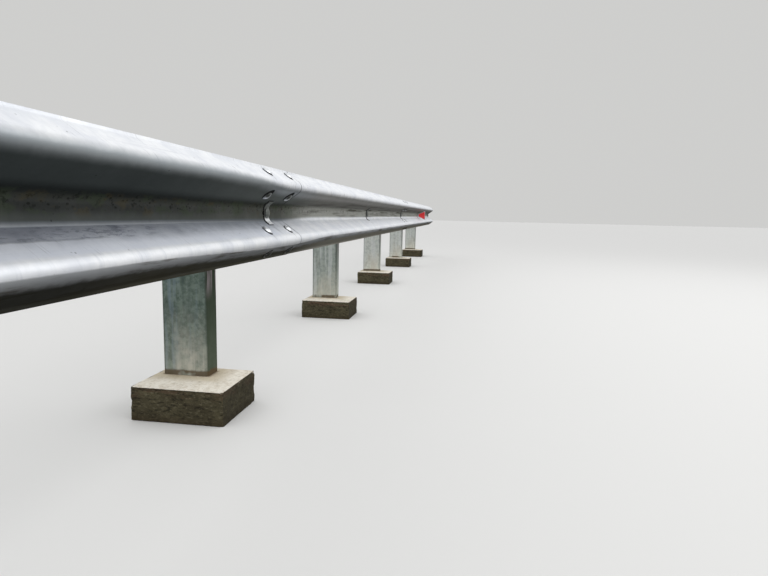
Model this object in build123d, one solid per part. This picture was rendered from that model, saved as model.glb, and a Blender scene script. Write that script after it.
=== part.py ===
from build123d import *
import os
from math import atan, cos, degrees, radians, sin, tan

# Highway guardrail section: bays of two-wave steel rail on channel posts set in concrete footings.
# Millimetres. X runs along the rail, Z is up, and the road lies on the -Y side.
# The origin is on the underside of the middle footing, on the centre line of its post.

# Line of the guardrail
post_spacing = 2000.0
bays_per_rail = 2
rail_count = 3
rail_centre_height = 716.0

# Rail sheet, folded into two waves
rail_sheet = 2.67
rail_depth = 83.0
rail_height = 311.0
crest_rise = 97.0
slope_angle = 35.0
wave_bend = 24.0
lip_height = 9.0
lip_angle = 20.0
lip_bend = 8.0
rail_end_margin = 160.0

# Holes in the rail
splice_slot_length = 29.0
splice_slot_width = 23.0
splice_column_offset = 108.0
inner_slot_rise = 60.0
outer_slot_rise = 133.0
post_slot_length = 64.0
post_slot_width = 20.0

# Channel posts and the blocking pieces between them and the rail
channel_plate = 6.0
channel_bend = 6.0
channel_flange = 75.0
post_width = 175.0
post_above_block = 10.0
block_depth = 200.0
block_height = 325.0
block_bolt_rise = 100.0
bolt_hole = 18.0

# Concrete footings
footing_length = 290.0
footing_width = 345.0
footing_height = 120.0
footing_shift_x = -60.0
footing_shift_y = -50.0
footing_corner = 8.0
footing_edge = 6.0

# Curved plate washers
washer_plate = 4.0
washer_height = 80.0
washer_length = 44.0

# Reflectors: a folded bracket with a red sheet on each side
bracket_plate = 2.5
bracket_bend = 3.0
bracket_upright_x = -27.5
bracket_tab_end = 18.0
bracket_tab_height = 28.0
bracket_tab_depth = 8.0
reflector_height = 124.0
reflector_reach = 114.0
reflector_corner = 12.0
red_sheet = 1.2
red_margin = 5.0
red_start = 24.0

# Clearances between pieces that seat on each other
lap_clearance = 0.15
seat_clearance = 0.2
pocket_clearance = 0.3

# Places that follow from the sizes
post_count = rail_count * bays_per_rail + 1
first_post_x = -post_spacing * (post_count - 1) / 2
rail_run = post_spacing * bays_per_rail
slope = radians(slope_angle)
apex_depth = rail_depth - rail_sheet + wave_bend / sin(slope) - wave_bend
valley_rise = crest_rise - apex_depth * tan(slope)
lip_rise = rail_height / 2 - lip_height
rail_back_y = -post_width / 2 - block_depth - seat_clearance
lap_shift = (rail_sheet + lap_clearance) / sin(slope)
rail_turn = degrees(atan(lap_shift / rail_run))
post_height = rail_centre_height + block_height / 2 + post_above_block
reflector_posts = [1, post_count - 2]


def slope_depth(rise):
    """Depth of the rail's back face at a height from its middle, on one of the four slopes."""
    return apex_depth - abs(abs(rise) - crest_rise) / tan(slope)


def post_x(index):
    return first_post_x + post_spacing * index


def post_y(index):
    """Small shift of a post across the line, so that its blocking piece meets the turned rail."""
    if index == post_count - 1:
        return -lap_shift / 2
    posts_past_head = index % bays_per_rail
    return lap_shift * (0.5 - posts_past_head / bays_per_rail)


def rail_back_skin():
    """Line of the rail's back face from bottom to top: X is depth towards the road, Y is height."""
    lip_depth = slope_depth(lip_rise)
    lip_end = lip_depth - lip_height * tan(radians(lip_angle))
    upper_half = [
        (0, valley_rise),
        (apex_depth, crest_rise),
        (lip_depth, lip_rise),
        (lip_end, rail_height / 2),
    ]
    lower_half = [(depth, -rise) for depth, rise in reversed(upper_half)]
    bends = [wave_bend + rail_sheet, wave_bend, lip_bend + rail_sheet]
    return FilletPolyline(*lower_half, *upper_half, radius=bends[::-1] + bends)


def layer_on_skin(skin, near, far):
    """Face between two offsets from the rail's back face, towards the road."""
    layer = make_face(skin.offset_2d(far, side=Side.RIGHT, closed=True))
    if near > 0:
        layer -= make_face(skin.offset_2d(near, side=Side.RIGHT, closed=True))
    return layer


def profile_plane(x):
    """Plane across the rail, for outlines drawn as depth towards the road and height."""
    return Plane(origin=(x, 0, 0), x_dir=(0, -1, 0), z_dir=(-1, 0, 0))


def punched_outline(length, width):
    """Outline of a punched hole or slot, its round ends made with three flats to keep the sheet light."""
    return chamfer(Rectangle(length, width).vertices(), width * (1 - cos(radians(45))))


def valley_cutter(x, outline):
    """Prism through the rail's valley, square to the road."""
    valley_plane = Plane(origin=(x, 0, 0), x_dir=(1, 0, 0), z_dir=(0, -1, 0))
    return extrude(valley_plane * outline, rail_depth, both=True)


def splice_slot_cutter(x, rise):
    """Prism for one splice slot, square to the slope that holds it."""
    outward = 1 if abs(rise) > crest_rise else -1
    if rise < 0:
        outward = -outward
    normal = (0, -sin(slope), outward * cos(slope))
    slope_plane = Plane(origin=(x, -slope_depth(rise), rise), x_dir=(1, 0, 0), z_dir=normal)
    slot = punched_outline(splice_slot_length, splice_slot_width)
    return extrude(slope_plane * slot, 3 * rail_sheet, both=True)


def make_rail():
    """One rail, with its first post slot at X = 0 and its valley's back face on the XZ plane."""
    section = layer_on_skin(rail_back_skin(), 0, rail_sheet)
    rail = extrude(profile_plane(-rail_end_margin) * section, -(rail_run + 2 * rail_end_margin))
    cutters = []
    for splice_x in (0, rail_run):
        for column in (-splice_column_offset, splice_column_offset):
            for rise in (inner_slot_rise, outer_slot_rise):
                cutters.append(splice_slot_cutter(splice_x + column, rise))
                cutters.append(splice_slot_cutter(splice_x + column, -rise))
    for bay in range(bays_per_rail + 1):
        cutters.append(valley_cutter(post_spacing * bay, punched_outline(post_slot_length, post_slot_width)))
    return rail - cutters


def channel_section(width, flange):
    """C-section with its web on the -X side and its flanges pointing to +X."""
    skin = FilletPolyline(
        (flange / 2, width / 2),
        (-flange / 2, width / 2),
        (-flange / 2, -width / 2),
        (flange / 2, -width / 2),
        radius=[channel_bend + channel_plate] * 2,
    )
    return make_face(skin.offset_2d(channel_plate, side=Side.LEFT, closed=True))


def flange_holes(y, rises):
    """Punches through a channel flange at Y, one at each height from the rail's middle."""
    punch = extrude(Plane.XZ * punched_outline(bolt_hole, bolt_hole), 2 * channel_plate, both=True)
    return [Pos(0, y, rail_centre_height + rise) * punch for rise in rises]


def make_post():
    """Channel post from the underside of the footing to just above the blocking piece."""
    post = extrude(channel_section(post_width, channel_flange), post_height)
    return post - flange_holes(-post_width / 2, (-block_bolt_rise, block_bolt_rise))


def make_blocking_piece():
    """Short channel that holds the rail away from the post, web facing the same way."""
    lower_end = rail_centre_height - block_height / 2
    block_y = -post_width / 2 - block_depth / 2
    block = Pos(0, block_y, lower_end) * extrude(channel_section(block_depth, channel_flange), block_height)
    block -= flange_holes(-post_width / 2, (-block_bolt_rise, block_bolt_rise))
    return block - flange_holes(-post_width / 2 - block_depth, (0,))


def make_footing():
    """Concrete block cast round the foot of a post, with its top edges broken."""
    footing = extrude(Rectangle(footing_length, footing_width), footing_height)
    footing = chamfer(footing.edges().filter_by(Axis.Z), footing_corner)
    footing = chamfer(footing.faces().sort_by(Axis.Z)[-1].edges(), footing_edge)
    pocket = offset(channel_section(post_width, channel_flange), pocket_clearance, kind=Kind.INTERSECTION)
    return Pos(footing_shift_x, footing_shift_y, 0) * footing - extrude(pocket, footing_height)


def make_washer():
    """Curved plate washer that follows the front of the valley round the post bolt."""
    near = rail_sheet + seat_clearance
    layer = layer_on_skin(rail_back_skin(), near, near + washer_plate)
    layer &= Rectangle(2 * rail_depth, washer_height)
    washer = extrude(profile_plane(-washer_length / 2) * layer, -washer_length)
    return washer - valley_cutter(0, punched_outline(bolt_hole, bolt_hole))


def reflector_outline(start, margin):
    """Trapezoid across the rail, narrow in the valley and wide towards the road, within a margin."""
    tab_rise = bracket_tab_height / 2
    end_rise = reflector_height / 2
    flare = (end_rise - tab_rise) / (reflector_reach - bracket_tab_depth)
    inset = margin / cos(atan(flare))
    end_depth = reflector_reach - margin

    def edge_rise(depth):
        return tab_rise + max(0, depth - bracket_tab_depth) * flare - inset

    depths = [start, end_depth]
    if start < bracket_tab_depth:
        depths.insert(1, bracket_tab_depth)
    upper = [(depth, edge_rise(depth)) for depth in depths]
    lower = [(depth, -rise) for depth, rise in reversed(upper)]
    outline = make_face(Polyline(*upper, *lower, close=True))
    outer_corners = outline.vertices().sort_by(Axis.X)[-2:]
    return fillet(outer_corners, reflector_corner - margin)


def make_bracket():
    """Folded plate: a tab under the post bolt's head and an upright across the valley."""
    seat_depth = rail_sheet + seat_clearance
    skin = FilletPolyline(
        (bracket_tab_end, -seat_depth),
        (bracket_upright_x, -seat_depth),
        (bracket_upright_x, -reflector_reach),
        radius=[bracket_bend + bracket_plate],
    )
    fold = make_face(skin.offset_2d(bracket_plate, side=Side.LEFT, closed=True))
    bracket = extrude(fold, reflector_height / 2, both=True)
    outline = profile_plane(0) * reflector_outline(0, 0)
    bracket &= extrude(outline, 2 * abs(bracket_upright_x), both=True)
    return bracket - valley_cutter(0, punched_outline(bolt_hole, bolt_hole))


def make_red_sheet(x):
    """Red sheet of a reflector, with its face towards -X at X."""
    return extrude(profile_plane(x) * reflector_outline(red_start, red_margin), -red_sheet)


def rail_place(index):
    """Place of a rail: its head lies on a blocking piece and its tail over the next rail's head."""
    head_x = post_x(bays_per_rail * index)
    return Pos(head_x, rail_back_y + lap_shift / 2, rail_centre_height) * Rot(0, 0, -rail_turn)


def front_rail_place(index):
    """Place of the outermost rail sheet at a post, moved along the rail to that post."""
    rail_index = max(0, (index + bays_per_rail - 1) // bays_per_rail - 1)
    along = post_spacing * (index - bays_per_rail * rail_index)
    return rail_place(rail_index) * Pos(along, 0, 0)


def write_part(name, shape):
    export_step(shape, f"parts/{name}.step")


os.makedirs("parts", exist_ok=True)

rail = make_rail()
for index in range(rail_count):
    write_part(f"rail_{index + 1}", rail_place(index) * rail)

post = make_post()
blocking_piece = make_blocking_piece()
footing = make_footing()
for index in range(post_count):
    place = Pos(post_x(index), post_y(index), 0)
    write_part(f"post_{index + 1}", place * post)
    write_part(f"blocking_piece_{index + 1}", place * blocking_piece)
    write_part(f"footing_{index + 1}", place * footing)

washer = make_washer()
bracket = make_bracket()
near_sheet = make_red_sheet(bracket_upright_x - red_sheet)
far_sheet = make_red_sheet(bracket_upright_x + bracket_plate)
for index in range(post_count):
    place = front_rail_place(index)
    if index in reflector_posts:
        write_part(f"reflector_bracket_{index + 1}", place * bracket)
        write_part(f"reflector_near_{index + 1}", place * near_sheet)
        write_part(f"reflector_far_{index + 1}", place * far_sheet)
    else:
        write_part(f"plate_washer_{index + 1}", place * washer)
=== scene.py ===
from math import atan, cos, degrees, pi, radians, sin, sqrt, tan

import bmesh
import bpy
from mathutils import Matrix, Vector


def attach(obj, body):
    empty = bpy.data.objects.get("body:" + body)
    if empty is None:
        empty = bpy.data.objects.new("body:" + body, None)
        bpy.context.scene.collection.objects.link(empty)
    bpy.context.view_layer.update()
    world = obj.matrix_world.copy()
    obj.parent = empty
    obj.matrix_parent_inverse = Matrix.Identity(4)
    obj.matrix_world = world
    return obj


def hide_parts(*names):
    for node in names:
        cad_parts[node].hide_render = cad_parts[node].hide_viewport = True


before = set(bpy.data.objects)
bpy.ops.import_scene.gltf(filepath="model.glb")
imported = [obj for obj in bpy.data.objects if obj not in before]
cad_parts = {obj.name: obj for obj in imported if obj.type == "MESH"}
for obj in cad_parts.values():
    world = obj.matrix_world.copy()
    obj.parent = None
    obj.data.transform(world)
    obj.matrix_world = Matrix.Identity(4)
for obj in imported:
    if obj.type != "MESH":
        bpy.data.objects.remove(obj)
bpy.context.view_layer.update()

# Sizes shared with the solids
post_spacing = 2.0
bays_per_rail = 2
rail_count = 3
rail_centre = 0.716
rail_sheet = 0.00267
rail_depth = 0.083
rail_height = 0.311
crest_rise = 0.097
slope = radians(35)
wave_bend = 0.024
lip_height = 0.009
lip_angle = radians(20)
lip_bend = 0.008
rail_end_margin = 0.160
splice_slot_length = 0.029
splice_slot_width = 0.023
splice_column_offset = 0.108
inner_slot_rise = 0.060
outer_slot_rise = 0.133
post_slot_length = 0.064
post_slot_width = 0.020
channel_plate = 0.006
channel_bend = 0.006
channel_flange = 0.075
post_width = 0.175
post_head = 0.010
block_depth = 0.200
block_height = 0.325
block_bolt_rise = 0.100
bolt_hole = 0.018
footing_length = 0.290
footing_width = 0.345
footing_height = 0.120
footing_corner = 0.008
footing_shift = Vector((-0.060, -0.050, 0))
washer_plate = 0.004
washer_height = 0.080
washer_length = 0.044
bracket_plate = 0.0025
bracket_bend = 0.003
bracket_upright_x = -0.0275
bracket_tab_end = 0.018
bracket_tab_height = 0.028
bracket_tab_depth = 0.008
reflector_height = 0.124
reflector_reach = 0.114
reflector_corner = 0.012
red_sheet = 0.0012
red_margin = 0.005
red_start = 0.024
lap_clearance = 0.00015
seat_clearance = 0.0002

post_count = rail_count * bays_per_rail + 1
rail_run = post_spacing * bays_per_rail
apex_depth = rail_depth - rail_sheet + wave_bend / sin(slope) - wave_bend
valley_rise = crest_rise - apex_depth * tan(slope)
lip_rise = rail_height / 2 - lip_height
rail_back_y = -post_width / 2 - block_depth - seat_clearance
valley_seat = rail_sheet + seat_clearance
lap_shift = (rail_sheet + lap_clearance) / sin(slope)
rail_turn = atan(lap_shift / rail_run)
post_height = rail_centre + block_height / 2 + post_head
reflector_posts = [1, post_count - 2]
splice_posts = [bays_per_rail * (index + 1) for index in range(rail_count - 1)]
tail_edge = rail_run * (1 - rail_count / 2) + rail_end_margin

# Sizes of the fasteners: M16 bolts
bolt_radius = 0.008
thread_root = 0.0069
thread_pitch = 0.002
thread_proud = 0.006
thread_tip = 0.0008
thread_run_out = 0.0015
thread_in_nut = 0.001
rib_radius = 0.68 * (bolt_radius - thread_root)
rib_reach = 0.0003
head_radius = 0.0175
head_height = 0.0062
head_rim = 0.0034
head_taper = 0.93
hex_head_height = 0.010
nut_across_flats = 0.024
nut_height = 0.013
nut_chamfer = radians(30)
nut_face_radius = 0.95 * nut_across_flats / 2
flat_washer_radius = 0.015
flat_washer_plate = 0.003
flat_washer_play = 0.0012

# Broken and rounded edges
sheet_edge = 0.0004
channel_edge = 0.0008
washer_edge = 0.0006
thin_edge = 0.0003
tab_corner = 0.004
footing_edge = 0.004

# The footing's pocket for the post, its crumbled rim and the dents in its faces
footing_mesh = 0.005
pocket_gap = 0.0006
pocket_past = 0.020
rim_height = 0.012
rim_width = 0.010
flat_base = 0.006
face_dent = 0.0012
side_dent = 0.0070
side_pit = 0.0030
rim_crumble = 0.0045

# Facets of round shapes
round_sides = 32
ball_rings = 28
thread_sides = 24
rib_steps = 18
slot_steps = 10
corner_steps = 8
fewest_fold_steps = 3
fold_step_degrees = 6

# Shares: of a slot's width, of a bend's outer radius and of a plate corner's radius
almost_half = 0.499
almost_all = 0.99
corner_setback = 0.8

# How near two points count as one, and how straight an edge or a face counts as square
hair = 1e-5
nearly_along = 0.9

along_rail = Vector((1, 0, 0))
up = Vector((0, 0, 1))
face_front = Matrix.Rotation(radians(90), 4, "X")
face_back = Matrix.Rotation(radians(-90), 4, "X")


def axes_at(point, *axes):
    """Place at a point, with its X, Y and Z along three axes."""
    return Matrix.Translation(point) @ Matrix(axes).transposed().to_4x4()


def slope_depth(rise):
    return apex_depth - abs(abs(rise) - crest_rise) / tan(slope)


def post_place(index):
    """Foot of a post's centre line; the posts step across the line with the lapped rails."""
    x = post_spacing * (index - (post_count - 1) / 2)
    if index == post_count - 1:
        return Vector((x, -lap_shift / 2, 0))
    return Vector((x, lap_shift * (0.5 - index % bays_per_rail / bays_per_rail), 0))


def rail_place(index):
    head = Vector((post_place(bays_per_rail * index).x, rail_back_y + lap_shift / 2, rail_centre))
    return Matrix.Translation(head) @ Matrix.Rotation(-rail_turn, 4, "Z")


def front_rail_place(index):
    """Place of the outermost rail sheet at a post."""
    rail_index = max(0, (index + bays_per_rail - 1) // bays_per_rail - 1)
    shift = post_spacing * (index - bays_per_rail * rail_index)
    return rail_place(rail_index) @ Matrix.Translation((shift, 0, 0))


# Modelling tools

def clear_selection():
    if bpy.context.mode != "OBJECT":
        bpy.ops.object.mode_set(mode="OBJECT")
    bpy.ops.object.select_all(action="DESELECT")


def make_active(piece):
    clear_selection()
    piece.select_set(True)
    bpy.context.view_layer.objects.active = piece


def open_edit(piece, select="DESELECT"):
    make_active(piece)
    bpy.ops.object.mode_set(mode="EDIT")
    bpy.ops.mesh.select_all(action=select)


def select_parts(piece, kind, wanted):
    """In edit mode, selects the edges or faces that a test wants, and nothing else."""
    bpy.ops.mesh.select_mode(type=kind)
    bpy.ops.mesh.select_all(action="DESELECT")
    mesh = bmesh.from_edit_mesh(piece.data)
    for part in mesh.edges if kind == "EDGE" else mesh.faces:
        if wanted(part):
            part.select_set(True)
    bmesh.update_edit_mesh(piece.data)


def select_edges(piece, wanted):
    select_parts(piece, "EDGE", lambda edge: wanted(edge.verts[0].co, edge.verts[1].co))


def select_faces(piece, wanted):
    select_parts(piece, "FACE", lambda face: wanted(face.calc_center_median(), face.normal))


def select_upright_edges(piece):
    select_edges(piece, lambda a, b: abs((b - a).normalized().z) > nearly_along)


def select_fold(piece, corner, along):
    """Selects the edges on the line through a corner."""
    def on_line(point):
        offset = point - corner
        return (offset - offset.project(along)).length < hair
    select_edges(piece, lambda a, b: on_line(a) and on_line(b))


def extrude(step):
    bpy.ops.mesh.extrude_region_move(TRANSFORM_OT_translate={"value": step})


def bevel(width, segments, affect="EDGES", **settings):
    bpy.ops.mesh.bevel(offset=width, segments=segments, affect=affect, **settings)


def apply_place(piece):
    make_active(piece)
    bpy.ops.object.transform_apply(location=True, rotation=True, scale=True)


def add(primitive, scale=(1, 1, 1), **settings):
    """A piece started from a primitive, given as its operator, with its place fixed."""
    clear_selection()
    primitive(**settings)
    piece = bpy.context.object
    piece.scale = scale
    apply_place(piece)
    return piece


def add_cylinder(sides, radius, depth, middle=(0, 0, 0), turn=0):
    """Cylinder along Z, or turned about X."""
    return add(
        bpy.ops.mesh.primitive_cylinder_add, vertices=sides, radius=radius, depth=depth, location=middle,
        rotation=(turn, 0, 0),
    )


def apply_modifier(piece, kind, **settings):
    make_active(piece)
    modifier = piece.modifiers.new(kind.lower(), kind)
    for setting, value in settings.items():
        setattr(modifier, setting, value)
    bpy.ops.object.modifier_apply(modifier=modifier.name)


def thicken(piece, thickness, side=1):
    """Gives a folded sheet its thickness on one side."""
    apply_modifier(piece, "SOLIDIFY", thickness=thickness, offset=side, use_even_offset=True)


def copy_to(piece, name, place):
    """Copy of a piece with its own mesh, moved to a place and fixed there."""
    made = piece.copy()
    made.data = piece.data.copy()
    made.name = name
    bpy.context.collection.objects.link(made)
    made.matrix_world = place
    apply_place(made)
    return made


def join(pieces, name):
    clear_selection()
    for piece in pieces:
        piece.select_set(True)
    bpy.context.view_layer.objects.active = pieces[0]
    bpy.ops.object.join()
    pieces[0].name = name
    return pieces[0]


def discard(*pieces):
    for piece in pieces:
        make_active(piece)
        bpy.ops.object.delete()


def cut(piece, cutters):
    tool = join(cutters, "cutter")
    apply_modifier(piece, "BOOLEAN", operation="DIFFERENCE", solver="EXACT", object=tool)
    discard(tool)


def break_edges(piece, width):
    apply_modifier(piece, "BEVEL", width=width, segments=2, limit_method="ANGLE", angle_limit=radians(50))


def smooth(piece, angle=20):
    make_active(piece)
    bpy.ops.object.shade_smooth_by_angle(angle=radians(angle))


def round_off(piece, width):
    break_edges(piece, width)
    smooth(piece)


def fold_sheet(corners, bends, along):
    """Sheet drawn corner to corner as a strip, then each fold rounded to its bend."""
    across = corners[1] - corners[0]
    turn = Matrix((along.normalized(), across.normalized(), along.cross(across).normalized()))
    piece = add(
        bpy.ops.mesh.primitive_plane_add, (along.length, across.length, 1), size=1,
        location=corners[0] + across / 2 + along / 2, rotation=turn.transposed().to_euler(),
    )
    open_edit(piece)
    select_fold(piece, corners[1], along)
    for corner, following in zip(corners[1:], corners[2:]):
        extrude(following - corner)
    for before, corner, after, bend in zip(corners, corners[1:], corners[2:], bends):
        turned = (corner - before).angle(after - corner)
        select_fold(piece, corner, along)
        steps = max(fewest_fold_steps, round(degrees(turned) / fold_step_degrees))
        bevel(bend * tan(turned / 2), steps, clamp_overlap=False)
    clear_selection()
    return piece


def slot_cutter(length, width, depth):
    """Obround prism along Z, centred on the origin."""
    tool = add(bpy.ops.mesh.primitive_cube_add, (length, width, depth), size=1)
    open_edit(tool)
    select_upright_edges(tool)
    bevel(width * almost_half, slot_steps)
    clear_selection()
    return tool


def bolt_hole_cutter(depth, y=0, height=0):
    """Cutter for a bolt hole that runs across the line of the rail."""
    return add_cylinder(round_sides, bolt_hole / 2, depth, (0, y, height), radians(90))


# Rail, posts and blocking pieces

def slope_place(x, rise, lift):
    """Place on the rail's back face at a slot, lifted to the front, with Z square to the slope."""
    outward = 1 if abs(rise) > crest_rise else -1
    normal = Vector((0, -sin(slope), cos(slope) * (outward if rise > 0 else -outward)))
    point = Vector((x, -slope_depth(rise), rise)) + normal * lift
    return axes_at(point, along_rail, normal.cross(along_rail), normal)


def valley_place(x, depth):
    """Place in the valley at a depth from the back face, with Z pointing to the front."""
    return axes_at((x, -depth, 0), along_rail, up, Vector((0, -1, 0)))


def splice_slots():
    for column in (-splice_column_offset, splice_column_offset):
        for rise in (-outer_slot_rise, -inner_slot_rise, inner_slot_rise, outer_slot_rise):
            yield column, rise


def back_skin():
    """Corners of the rail's back face at its head, from the lower lip up."""
    lip_depth = slope_depth(lip_rise)
    upper = [
        (0, valley_rise),
        (apex_depth, crest_rise),
        (lip_depth, lip_rise),
        (lip_depth - lip_height * tan(lip_angle), rail_height / 2),
    ]
    lower = [(depth, -rise) for depth, rise in reversed(upper)]
    return [Vector((-rail_end_margin, -depth, rise)) for depth, rise in lower + upper]


def make_rail():
    bends = [wave_bend + rail_sheet, wave_bend, lip_bend + rail_sheet]
    length = rail_run + 2 * rail_end_margin
    rail = fold_sheet(back_skin(), bends[::-1] + bends, along_rail * length)
    thicken(rail, rail_sheet)
    splice_slot = slot_cutter(splice_slot_length, splice_slot_width, 6 * rail_sheet)
    post_slot = slot_cutter(post_slot_length, post_slot_width, rail_depth)
    cutters = []
    for splice_x in (0, rail_run):
        for column, rise in splice_slots():
            cutters.append(copy_to(splice_slot, "cutter", slope_place(splice_x + column, rise, 0)))
    for bay in range(bays_per_rail + 1):
        cutters.append(copy_to(post_slot, "cutter", valley_place(post_spacing * bay, 0)))
    discard(splice_slot, post_slot)
    cut(rail, cutters)
    round_off(rail, sheet_edge)
    return rail


def make_channel(width, height):
    """Channel with its web on the -X side, standing on Z = 0."""
    half = channel_flange / 2
    corners = [(half, width / 2), (-half, width / 2), (-half, -width / 2), (half, -width / 2)]
    outer_bend = channel_bend + channel_plate
    channel = fold_sheet([Vector((x, y, 0)) for x, y in corners], [outer_bend] * 2, up * height)
    thicken(channel, channel_plate)
    return channel


def finish_channel(channel, holes):
    """Drills a channel's flanges at the places given as Y and height."""
    cut(channel, [bolt_hole_cutter(4 * channel_plate, y, height) for y, height in holes])
    round_off(channel, channel_edge)
    return channel


def block_holes():
    return [(-post_width / 2, rail_centre + rise) for rise in (-block_bolt_rise, block_bolt_rise)]


def make_post():
    return finish_channel(make_channel(post_width, post_height), block_holes())


def make_blocking_piece():
    block = make_channel(block_depth, block_height)
    block.location = (0, -post_width / 2 - block_depth / 2, rail_centre - block_height / 2)
    apply_place(block)
    return finish_channel(block, block_holes() + [(-post_width / 2 - block_depth, rail_centre)])


# Footings

def make_footing():
    """Concrete block with broken edges, before its faces are roughened."""
    footing = add(
        bpy.ops.mesh.primitive_cube_add, (footing_length, footing_width, footing_height), size=1,
        location=footing_shift + up * footing_height / 2,
    )
    open_edit(footing)
    select_upright_edges(footing)
    bevel(footing_corner, 3)
    select_edges(footing, lambda a, b: min(a.z, b.z) > footing_height - hair)
    bevel(footing_edge, 3)
    clear_selection()
    apply_modifier(footing, "REMESH", mode="VOXEL", voxel_size=footing_mesh)
    return footing


def make_pocket_cutter():
    pocket = make_channel(post_width + pocket_gap, footing_height + 2 * pocket_past)
    pocket.location = (0, 0, -pocket_past)
    apply_place(pocket)
    return pocket


def rough_concrete(name, size, depth):
    texture = bpy.data.textures.new(name, "CLOUDS")
    texture.noise_scale = size
    texture.noise_depth = depth
    return texture


def mark_faces(piece, group, wanted):
    open_edit(piece)
    select_faces(piece, wanted)
    piece.vertex_groups.new(name=group)
    bpy.ops.object.vertex_group_assign()
    clear_selection()


def roughen(footing, place, coarse, fine):
    """Rough sides and a crumbled top edge; dents go inwards, and the underside stays flat."""
    middle = place + footing_shift

    def from_edge(point):
        offset = point - middle
        return min(footing_length / 2 - abs(offset.x), footing_width / 2 - abs(offset.y))

    def on_rim(centre, normal):
        return centre.z > footing_height - rim_height and from_edge(centre) < rim_width

    mark_faces(footing, "sides", lambda centre, normal: abs(normal.z) < 0.6)
    mark_faces(footing, "rim", on_rim)
    for depth, texture, group in (
        (face_dent, coarse, ""), (side_dent, coarse, "sides"), (side_pit, fine, "sides"),
        (rim_crumble, fine, "rim"),
    ):
        apply_modifier(
            footing, "DISPLACE", strength=depth, texture=texture, vertex_group=group, mid_level=1.0,
            texture_coords="LOCAL",
        )
    open_edit(footing)
    select_faces(footing, lambda centre, normal: centre.z < flat_base)
    bpy.ops.transform.resize(value=(1, 1, 0), center_override=(0, 0, 0))
    clear_selection()


# Fasteners

def mark_grime_and_shade(piece, dirty):
    """Attribute that the fittings' finish darkens: 1 at the points where dirt gathers and shade is painted.
    """
    grime = piece.data.attributes.new("grime", "FLOAT", "POINT")
    for vertex, level in zip(piece.data.vertices, grime.data):
        level.value = 1.0 if dirty(vertex.co) else 0.0


def make_button_bolt(shank):
    """Button-head bolt with its bearing face on Z = 0 and its head above."""
    ball = (head_radius ** 2 + head_height ** 2) / (2 * head_height)
    bolt = add(
        bpy.ops.mesh.primitive_uv_sphere_add, segments=round_sides, ring_count=ball_rings, radius=ball,
        location=up * (head_rim + head_height - ball),
    )
    open_edit(bolt, "SELECT")
    bpy.ops.mesh.bisect(plane_co=(0, 0, head_rim), plane_no=(0, 0, 1), clear_inner=True, use_fill=True)
    extrude((0, 0, -head_rim / 2))
    extrude((0, 0, -head_rim / 2))
    bpy.ops.transform.resize(value=(head_taper, head_taper, 1), center_override=(0, 0, 0))
    bpy.ops.mesh.inset(thickness=head_taper * head_radius - bolt_radius)
    extrude((0, 0, -shank))
    clear_selection()
    smooth(bolt, 25)
    # The head's rim and underside are painted dark, as shade with dirt
    mark_grime_and_shade(bolt, lambda point: point.z < head_rim - hair)
    return bolt


def make_hex(height, bottom):
    """Hexagon with its corners chamfered at both ends, standing at a height."""
    piece = add_cylinder(6, nut_across_flats / sqrt(3), height, up * height / 2)
    for end, facing in ((height, 1), (0, -1)):
        for corner in range(6):
            angle = radians(60 * corner)
            outward = Vector((sin(angle), cos(angle), 0))
            open_edit(piece, "SELECT")
            bpy.ops.mesh.bisect(
                plane_co=outward * nut_face_radius + up * end,
                plane_no=outward * sin(nut_chamfer) + up * facing * cos(nut_chamfer),
                clear_outer=True, use_fill=True,
            )
    clear_selection()
    piece.location = (0, 0, bottom)
    apply_place(piece)
    return piece


def make_flat_washer():
    """Flat washer standing on Z = 0."""
    washer = add_cylinder(round_sides, flat_washer_radius, flat_washer_plate, up * flat_washer_plate / 2)
    cut(washer, [add_cylinder(round_sides, bolt_radius + flat_washer_play / 2, 4 * flat_washer_plate)])
    break_edges(washer, thin_edge)
    return washer


def make_thread(start, length):
    """Threaded end: a core with a helical rib, from a height above Z = 0."""
    core = add_cylinder(thread_sides, thread_root, length, up * (start + length / 2))
    open_edit(core)
    select_faces(core, lambda centre, normal: normal.z > nearly_along)
    bevel(thread_tip, 1)
    rib = add(
        bpy.ops.mesh.primitive_circle_add, vertices=3, radius=rib_radius, fill_type="NOTHING",
        location=(thread_root + rib_reach, 0, start), rotation=(radians(90), 0, 0),
    )
    turns = max(1, int((length - thread_run_out) / thread_pitch))
    apply_modifier(
        rib, "SCREW", axis="Z", angle=2 * pi, screw_offset=thread_pitch, iterations=turns,
        steps=rib_steps, render_steps=rib_steps, use_merge_vertices=True,
    )
    open_edit(rib, "SELECT")
    bpy.ops.mesh.fill_holes(sides=4)
    bpy.ops.mesh.normals_make_consistent(inside=False)
    clear_selection()
    return join([core, rib], "thread")


def make_nut_set():
    """Flat washer, nut and threaded bolt end, bearing on Z = 0 and standing along Z."""
    nut = make_hex(nut_height, flat_washer_plate)
    thread = make_thread(flat_washer_plate + nut_height - thread_in_nut, thread_proud)
    return join([make_flat_washer(), nut, thread], "nut_set")


def make_hex_bolt(shank):
    """Hexagon-head bolt with a flat washer, bearing on Z = 0, head above and shank below."""
    head = make_hex(hex_head_height, flat_washer_plate)
    open_edit(head)
    select_faces(head, lambda centre, normal: normal.z < -nearly_along)
    bpy.ops.mesh.inset(thickness=nut_across_flats / 2 - bolt_radius)
    extrude((0, 0, -shank))
    clear_selection()
    return join([head, make_flat_washer()], "hex_bolt")


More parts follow.
